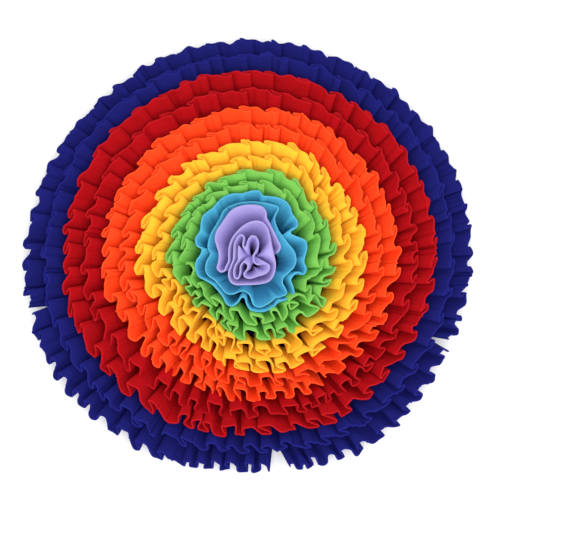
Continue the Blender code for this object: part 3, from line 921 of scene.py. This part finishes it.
    def build(self, finish: bpy.types.Material) -> None:
        """Make the ring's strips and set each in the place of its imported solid.

        Args:
            finish: The cloth's material.
        """
        folds = self._drawn[0]
        free_edge = self.corners(1.0)
        lengths = lengths_along(free_edge)
        shares = Strip.shares(self.ROWS)
        around = float(self.carrier(1.0)[0]) * math.tau
        low, high = self.BOW_POWERS
        for name, first, last, before, after in self._strips():
            turned = last * self.CORNERS + 2  # the last fold's leaving corner
            span = [first * self.CORNERS, turned + TAIL]
            start, stop = np.interp(span, range(len(lengths)), lengths)
            run = np.linspace(start, stop, round((stop - start) / self.COLUMN))
            marks = np.interp(run, lengths, np.arange(len(lengths)))
            finish_at = free_edge[turned, 0] / around * 360.0
            ends = []
            for share in (0.0, 1.0):
                clock, rise = self.line(share, marks)
                past = np.maximum(clock - folds[first].start, 0)
                clock = clock + before * share * np.exp(-past / PULL_REACH)
                clock -= after * share * np.exp(-np.maximum(finish_at - clock, 0) / PULL_REACH)
                ends.append(self._place(clock, rise, share))
            bow = self._bowed(*ends, rise)
            points = ends[0][None] + (ends[1] - ends[0])[None] * shares[:, None, None]
            points = points + bow * (self.BOW_SCALE * shares**low * (1 - shares) ** high)[:, None, None]
            Strip(name, self.cloth, self.width).sew(points, run, shares, finish)


@dataclass(frozen=True)
class LooseRing:
    """One ring of ruffle that waves loosely at its free edge, with the sizes of its solid."""

    name: str
    cloth: Cloth
    edge: Path
    root_radius: float
    root_waves: float
    width: float
    creases: int  # the seed of its creases

    POINTS = 14
    CLOSER = 0.9  # how much longer each end is than its solid's
    CREASE = 1.8  # how deep the small creases are
    VALLEY = 2.3  # how many times deeper the crease down each wave's valley is
    VALLEY_WIDTH = 2.8
    CREASE_PITCH = (7.0, 19.0)
    CREASE_DEPTHS = (0.3, 0.8)
    CREASE_WIDTHS = (1.2, 2.2)
    FIRST_CREASE = (2.0, 8.0)  # how far from the cloth's start it may be
    LAST_CREASE = 3.0  # how far from the cloth's end it is at least
    BESIDE = 4  # a valley is nearer the middle than so many columns on each side
    DEEPER = 0.8  # how much deeper the valleys are halfway up
    SPREAD = 0.65  # below 1, the waves reach further down towards the sewn edge
    ROWS = (0.0, 0.12, 0.26, 0.4, 0.54, 0.67, 0.78, 0.87, 0.93)

    def _dents(self, run: np.ndarray, edge: np.ndarray) -> np.ndarray:
        """Crease the cloth down the valley of each wave, and here and there between.

        Args:
            run: The length of cloth up to each column.
            edge: How far from the mat's middle each column ends.

        Returns:
            The creases' depth at each column, where they are deepest.
        """
        rng = random.Random(self.creases)
        creases = [
            (run[index], self.VALLEY, self.VALLEY_WIDTH)
            for index in range(self.BESIDE, len(run) - self.BESIDE)
            if edge[index] == edge[index - self.BESIDE : index + self.BESIDE + 1].min()
        ]
        place = rng.uniform(*self.FIRST_CREASE)
        while place < run[-1] - self.LAST_CREASE:
            depth, width = rng.uniform(*self.CREASE_DEPTHS), rng.uniform(*self.CREASE_WIDTHS)
            creases.append((place, depth, width))
            place += rng.uniform(*self.CREASE_PITCH)
        dents = np.zeros(len(run))
        for place, depth, width in creases:
            dents += depth * crease((run - place) / width)
        return dents * self.CREASE

    def build(self, finish: bpy.types.Material) -> None:
        """Make the ring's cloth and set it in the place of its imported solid.

        Args:
            finish: The cloth's material.
        """
        path = smooth_path(self.edge, self.POINTS)
        for end, neighbour in ((0, 1), (-1, -2)):
            onward = path[end] - path[neighbour]
            path[end] += onward / np.hypot(*onward) * self.CLOSER
        shares = Strip.shares(self.ROWS)
        edge = np.hypot(*path.T)
        mean_radius = float(np.hypot(*smooth_path(self.edge, 2).T).mean())
        root = self.root_radius + (edge - mean_radius) * self.root_waves
        plain = self.root_radius + (mean_radius - self.root_radius) * shares[:, None]
        reach = self.root_waves + (1 - self.root_waves) * shares[:, None] ** self.SPREAD
        run = lengths_along(path)
        halfway = (4 * shares * (1 - shares))[:, None]
        wave = (edge - mean_radius)[None, :]
        deeper = np.where(wave < 0, self.DEEPER * halfway, 0.0)
        radius = plain + wave * (reach + deeper) - self._dents(run, edge)[None, :] * halfway
        lean = (edge - root) / self.width
        height = BASE_THICKNESS + GAP + FLEECE / 2 * (1 + ROOT_LIFT)
        height = height + self.width * shares[:, None] * np.sqrt(1 - lean * lean)[None, :]
        spread = radius / edge[None, :]
        points = np.stack([path[None, :, 0] * spread, path[None, :, 1] * spread, height], axis=-1)
        Strip(self.name, self.cloth, self.width).sew(points, run, shares, finish)


@dataclass(frozen=True)
class Pocket:
    """A space between the rosette's folds, which one soft wall flops across."""

    centre: tuple[float, float]
    reach: float
    fade: float  # how far beyond its reach it draws the cloth in
    flopped_from: float  # the direction of the wall that flops, in degrees from +X


POCKETS = (
    Pocket((-3.0, -9.0), 7.0, 9.0, 180.0),
    Pocket((9.0, -9.0), 14.0, 5.0, 0.0),
    Pocket((6.0, -24.0), 10.0, 5.0, 0.0),
)


@dataclass(frozen=True)
class Rosette:
    """One strip of lavender fleece rolled about two turns, with a folded inner end."""

    edge: Path = ROSE_EDGE
    width: float = 56.0
    root: float = 0.55
    flare: float = 1.5
    narrowed: float = 0.45  # how far a pocket's walls close in, as a share
    narrowed_depth: float = 0.35  # over this share of the strip's width, from its free edge
    flopped: float = 1.15  # the same for the wall that flops across it
    flopped_depth: float = 0.24

    POINTS = 12
    FLOP_REACH = 0.4  # above 0, more than half of the walls round a pocket flop
    ROWS = (0.0, 0.1, 0.2, 0.3, 0.4, 0.5, 0.6, 0.68, 0.76, 0.83, 0.89, 0.93)

    def build(self, finish: bpy.types.Material) -> None:
        """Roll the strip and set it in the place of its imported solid.

        Args:
            finish: The cloth's material.
        """
        path = smooth_path(self.edge, self.POINTS)
        shares = Strip.shares(self.ROWS)
        share = shares[:, None]
        out = np.hypot(*path.T)[None, :]
        down = 1 - share
        narrowed = self.narrowed * np.clip(down / self.narrowed_depth, 0, 1)
        flopped = self.flopped * np.clip(down / self.flopped_depth, 0, 1)
        drawn = np.repeat(path[None], len(shares), axis=0)
        for pocket in POCKETS:
            away = path - pocket.centre
            beyond = (np.hypot(*away.T) - pocket.reach) / pocket.fade
            inside = (1 - np.clip(beyond, 0, 1))[None, :]
            turned = np.arctan2(away[:, 1], away[:, 0]) - math.radians(pocket.flopped_from)
            flop = np.clip(self.FLOP_REACH + np.cos(turned), 0, 1)[None, :]
            closing = inside * (narrowed + (flopped - narrowed) * flop)
            drawn -= away[None] * closing[:, :, None]
        spread = self.root + (1 - self.root) * share**self.flare
        lean = out * (1 - self.root) / self.width
        height = BASE_THICKNESS + GAP + FLEECE / 2 * ROOT_LIFT
        height = height + self.width * share * np.sqrt(1 - lean**2)
        points = np.stack([drawn[:, :, 0] * spread, drawn[:, :, 1] * spread, height], axis=-1)
        run = lengths_along(path)
        Strip("lavender_rose", Cloth.LAVENDER, self.width).sew(points, run, shares, finish)


@dataclass(frozen=True)
class BaseCloth:
    """The round base of thick felt, with a row of stitches on its underside for each ruffle."""

    seams: tuple[float, ...]
    radius: float = BASE_RADIUS
    thickness: float = BASE_THICKNESS
    sides: int = 144
    rim: float = 0.9
    furrow_width: float = 2.4
    furrow_depth: float = 0.7
    stitch_length: float = 3.4
    stitch_pitch: float = 4.6
    thread: float = 0.32
    thread_lift: float = 0.1

    def _shape(self) -> bpy.types.Object:
        """Press a furrow for each seam into a round of felt, and round its rim.

        Returns:
            The base cloth.
        """
        bpy.ops.mesh.primitive_cylinder_add(
            vertices=self.sides,
            radius=self.radius * MM,
            depth=self.thickness * MM,
            location=(0, 0, self.thickness / 2 * MM),
        )
        piece = bpy.context.object
        piece.name = piece.data.name = "backing_cloth"
        bpy.ops.object.transform_apply(location=True, rotation=True, scale=True)
        bpy.ops.object.mode_set(mode="EDIT")
        bpy.ops.mesh.select_mode(type="FACE")
        shape = bmesh.from_edit_mesh(piece.data)
        for face in shape.faces:
            face.select_set(face.normal.z < -0.9)
        bmesh.update_edit_mesh(piece.data)
        reached = self.radius
        for seam in sorted(self.seams, reverse=True):
            half = self.furrow_width / 2
            cuts = ((reached - seam - half, 0.0), (half, -self.furrow_depth), (half, self.furrow_depth))
            for inward, down in cuts:
                bpy.ops.mesh.inset(thickness=inward * MM, depth=down * MM)
            reached = seam - half
        bpy.ops.mesh.select_mode(type="EDGE")
        shape = bmesh.from_edit_mesh(piece.data)
        for edge in shape.edges:
            at_rim = all(vertex.co.to_2d().length > (self.radius - 0.1) * MM for vertex in edge.verts)
            level = abs(edge.verts[0].co.z - edge.verts[1].co.z) < self.rim / 2 * MM
            edge.select_set(at_rim and level)
        bmesh.update_edit_mesh(piece.data)
        bpy.ops.mesh.bevel(offset=self.rim * MM, segments=3, affect="EDGES")
        bpy.ops.object.mode_set(mode="OBJECT")
        bpy.ops.object.shade_smooth_by_angle(angle=math.radians(40))
        return piece

    def _stitches(self) -> bpy.types.Object:
        """Shape one stitch, and copy it along every seam.

        Returns:
            All the stitches, as one piece.
        """
        bpy.ops.mesh.primitive_uv_sphere_add(segments=6, ring_count=4, radius=1.0)
        stitch = bpy.context.object
        shape = np.array([vertex.co for vertex in stitch.data.vertices])
        shape = shape[:, [2, 0, 1]] * (self.stitch_length / 2, self.thread, self.thread)
        faces = [tuple(face.vertices) for face in stitch.data.polygons]
        bpy.data.objects.remove(stitch, do_unlink=True)
        points, rows = [], []
        for seam in self.seams:
            count = round(math.tau * seam / self.stitch_pitch)
            for turn in np.arange(count) * math.tau / count:
                cos, sin = math.cos(turn), math.sin(turn)
                start = len(points) * len(shape)
                placed = np.stack(
                    [
                        seam * cos - shape[:, 0] * sin - shape[:, 1] * cos,
                        seam * sin + shape[:, 0] * cos - shape[:, 1] * sin,
                        self.thread + self.thread_lift - shape[:, 2],
                    ],
                    axis=1,
                )
                points.append(placed * MM)
                rows += [tuple(start + index for index in face) for face in faces]
        return add_piece("backing_stitches", np.vstack(points), rows)

    def build(self, felt: bpy.types.Material, thread: bpy.types.Material) -> None:
        """Make the base and its stitches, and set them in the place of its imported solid.

        Args:
            felt: The base cloth's material.
            thread: The stitches' material.
        """
        cloth, stitches = self._shape(), self._stitches()
        for piece, material in ((cloth, felt), (stitches, thread)):
            seen = np.array([vertex.co[:2] for vertex in piece.data.vertices])
            lay_uv(piece.data, seen + (0.0, 1.0))  # a metre clear of the cut edge
            piece.data.materials.clear()
            piece.data.materials.append(material)
            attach(piece, BODY)
            log.info("%s: %d faces", piece.name, len(piece.data.polygons))
        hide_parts("backing")


BOXED = Softness(
    far=1.0, near=2.6, wander=1.2, stray=4.0, deeper=0.15, ragged=2.8, pressed=0.25, fade=1.5,
    bow=1.0, belly=0.1, crease=2.8, loop=1.6,
)
WAVED = Softness(
    far=1.1, near=2.8, wander=1.8, stray=4.2, deeper=0.3, ragged=2.5, pressed=0.25, fade=1.2,
    bow=3.0, belly=0.1, crease=2.7, loop=2.6,
)
CURLED = Softness(
    far=1.3, near=2.8, wander=2.2, stray=3.8, deeper=0.3, ragged=2.2, pressed=0.15, fade=1.0,
    bow=4.0, belly=0.1, crease=2.2, loop=3.0,
)
HUGGING = replace(CURLED, stray=3.4, deeper=0.2, ragged=2.0, bow=4.2, belly=0.0, loop=2.6)

RINGS = tuple(
    RuffleRing(*row)
    for row in (
        ("blue_outer", Cloth.BLUE, 21, 62, 192.5, 66, 71, 38, 1.75, 7.6, 1, OUTER_ENDS, BOXED, 0.35),
        ("blue_inner", Cloth.BLUE, 2, 54, 171.3, 50, 57, 45, 1.75, 5.8, 1, ((205, 0),), BOXED, 0.2),
        ("red_outer", Cloth.RED, 103, 49, 154.3, 43, 48, 47, 1.8, 7.0, 1, ((290, 0),), WAVED),
        ("red_inner", Cloth.RED, 4, 43, 137.3, 40, 44, 46, 1.65, 7.6, 1, ((60, 0),), WAVED),
        ("orange_outer", Cloth.ORANGE, 125, 44, 121.6, 36, 40, 45, 1.8, 7.2, 1, ((150, 0),), WAVED),
        ("orange_inner", Cloth.ORANGE, 106, 40, 107.0, 33, 36, 45, 1.8, 6.8, 1, ((20, 0),), WAVED),
        ("yellow_outer", Cloth.YELLOW, 47, 32, 92.5, 30, 32, 45, 1.75, 7.0, 2, ((320, 0),), CURLED),
        ("yellow_inner", Cloth.YELLOW, 28, 29, 78.6, 26, 28, 45, 1.7, 6.8, 2, ((215, 0),), CURLED),
        ("green_outer", Cloth.GREEN, 9, 25, 65.6, 22, 25, 45, 1.65, 6.2, 2, ((100, 0),), CURLED),
        ("green_inner", Cloth.GREEN, 30, 20, 53.4, 19, 25, 45, 1.6, 5.8, 2, ((255, 0),), HUGGING),
    )
)

LOOSE_RINGS = (
    LooseRing("sky_outer", Cloth.SKY, SKY_OUTER_EDGE, 41.5, 0.25, 45, 5),
    LooseRing("sky_inner", Cloth.SKY, SKY_INNER_EDGE, 30.0, 0.20, 46, 8),
)


@dataclass(frozen=True)
class Studio:
    """The floor, the lights and the camera."""

    floor_size: float = 8.0
    floor_colour: Colour = (0.95, 0.95, 0.95)
    world_strength: float = 1.25
    key_power: float = 15.0
    key_size: float = 1.4
    key_place: tuple[float, float, float] = (0.15, -0.85, 1.7)
    camera_distance: float = 1.4
    camera_elevation: float = 79.5
    focal_pixels: float = 1339.0
    frame_width: float = 565.0
    frame_height: float = 546.0
    centre_pixel: tuple[float, float] = (250.0, 256.5)
    sensor: float = 36.0

    def build_floor(self) -> None:
        """Lay a plain pale floor under the mat."""
        bpy.ops.mesh.primitive_plane_add(size=self.floor_size)
        floor = bpy.context.object
        floor.name = floor.data.name = "floor"
        material = bpy.data.materials.new("pale_floor")
        material.use_nodes = True
        shader = material.node_tree.nodes["Principled BSDF"]
        shader.inputs["Base Color"].default_value = (*self.floor_colour, 1.0)
        shader.inputs["Roughness"].default_value = 0.9
        floor.data.materials.append(material)

    def build_lights(self) -> None:
        """Light the mat evenly from all round, and a little more from behind the camera."""
        scene = bpy.context.scene
        world = scene.world or bpy.data.worlds.new("studio")
        scene.world = world
        world.use_nodes = True
        background = world.node_tree.nodes["Background"]
        background.inputs["Color"].default_value = (1.0, 1.0, 1.0, 1.0)
        background.inputs["Strength"].default_value = self.world_strength
        light = bpy.data.lights.new("key", "AREA")
        light.energy = self.key_power
        light.size = self.key_size
        key = bpy.data.objects.new("key", light)
        key.location = self.key_place
        key.rotation_euler = (-Vector(self.key_place)).to_track_quat("-Z", "Y").to_euler()
        scene.collection.objects.link(key)

    def build_camera(self) -> None:
        """Stand the camera over the mat's near side."""
        elevation = math.radians(self.camera_elevation)
        camera = bpy.data.cameras.new("camera")
        camera.sensor_width = self.sensor
        camera.lens = self.sensor * self.focal_pixels / self.frame_width
        camera.shift_x = (self.frame_width / 2 - self.centre_pixel[0]) / self.frame_width
        camera.shift_y = (self.centre_pixel[1] - self.frame_height / 2) / self.frame_width
        stand = bpy.data.objects.new("camera", camera)
        stand.location = (
            0.0,
            -self.camera_distance * math.cos(elevation),
            self.camera_distance * math.sin(elevation),
        )
        stand.rotation_euler = (-stand.location).to_track_quat("-Z", "Y").to_euler()
        bpy.context.scene.collection.objects.link(stand)
        bpy.context.scene.camera = stand
        bpy.context.scene.view_settings.view_transform = "Standard"


def main() -> None:
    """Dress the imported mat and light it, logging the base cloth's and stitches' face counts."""
    logging.basicConfig(level=logging.INFO, format="%(name)s: %(message)s")
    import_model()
    bpy.ops.object.select_all(action="DESELECT")
    finishes = {cloth: finish.build(f"{cloth.value}_fleece") for cloth, finish in FINISHES.items()}
    seams = tuple(ring.root_radius for ring in (*RINGS, *LOOSE_RINGS))
    BaseCloth((*seams, ROSE_SEAM)).build(finishes[Cloth.BASE], THREAD.build("seam_thread"))
    for ring in (*RINGS, *LOOSE_RINGS):
        ring.build(finishes[ring.cloth])
    Rosette().build(finishes[Cloth.LAVENDER])
    studio = Studio()
    studio.build_floor()
    studio.build_lights()
    studio.build_camera()


if __name__ == "__main__":
    main()
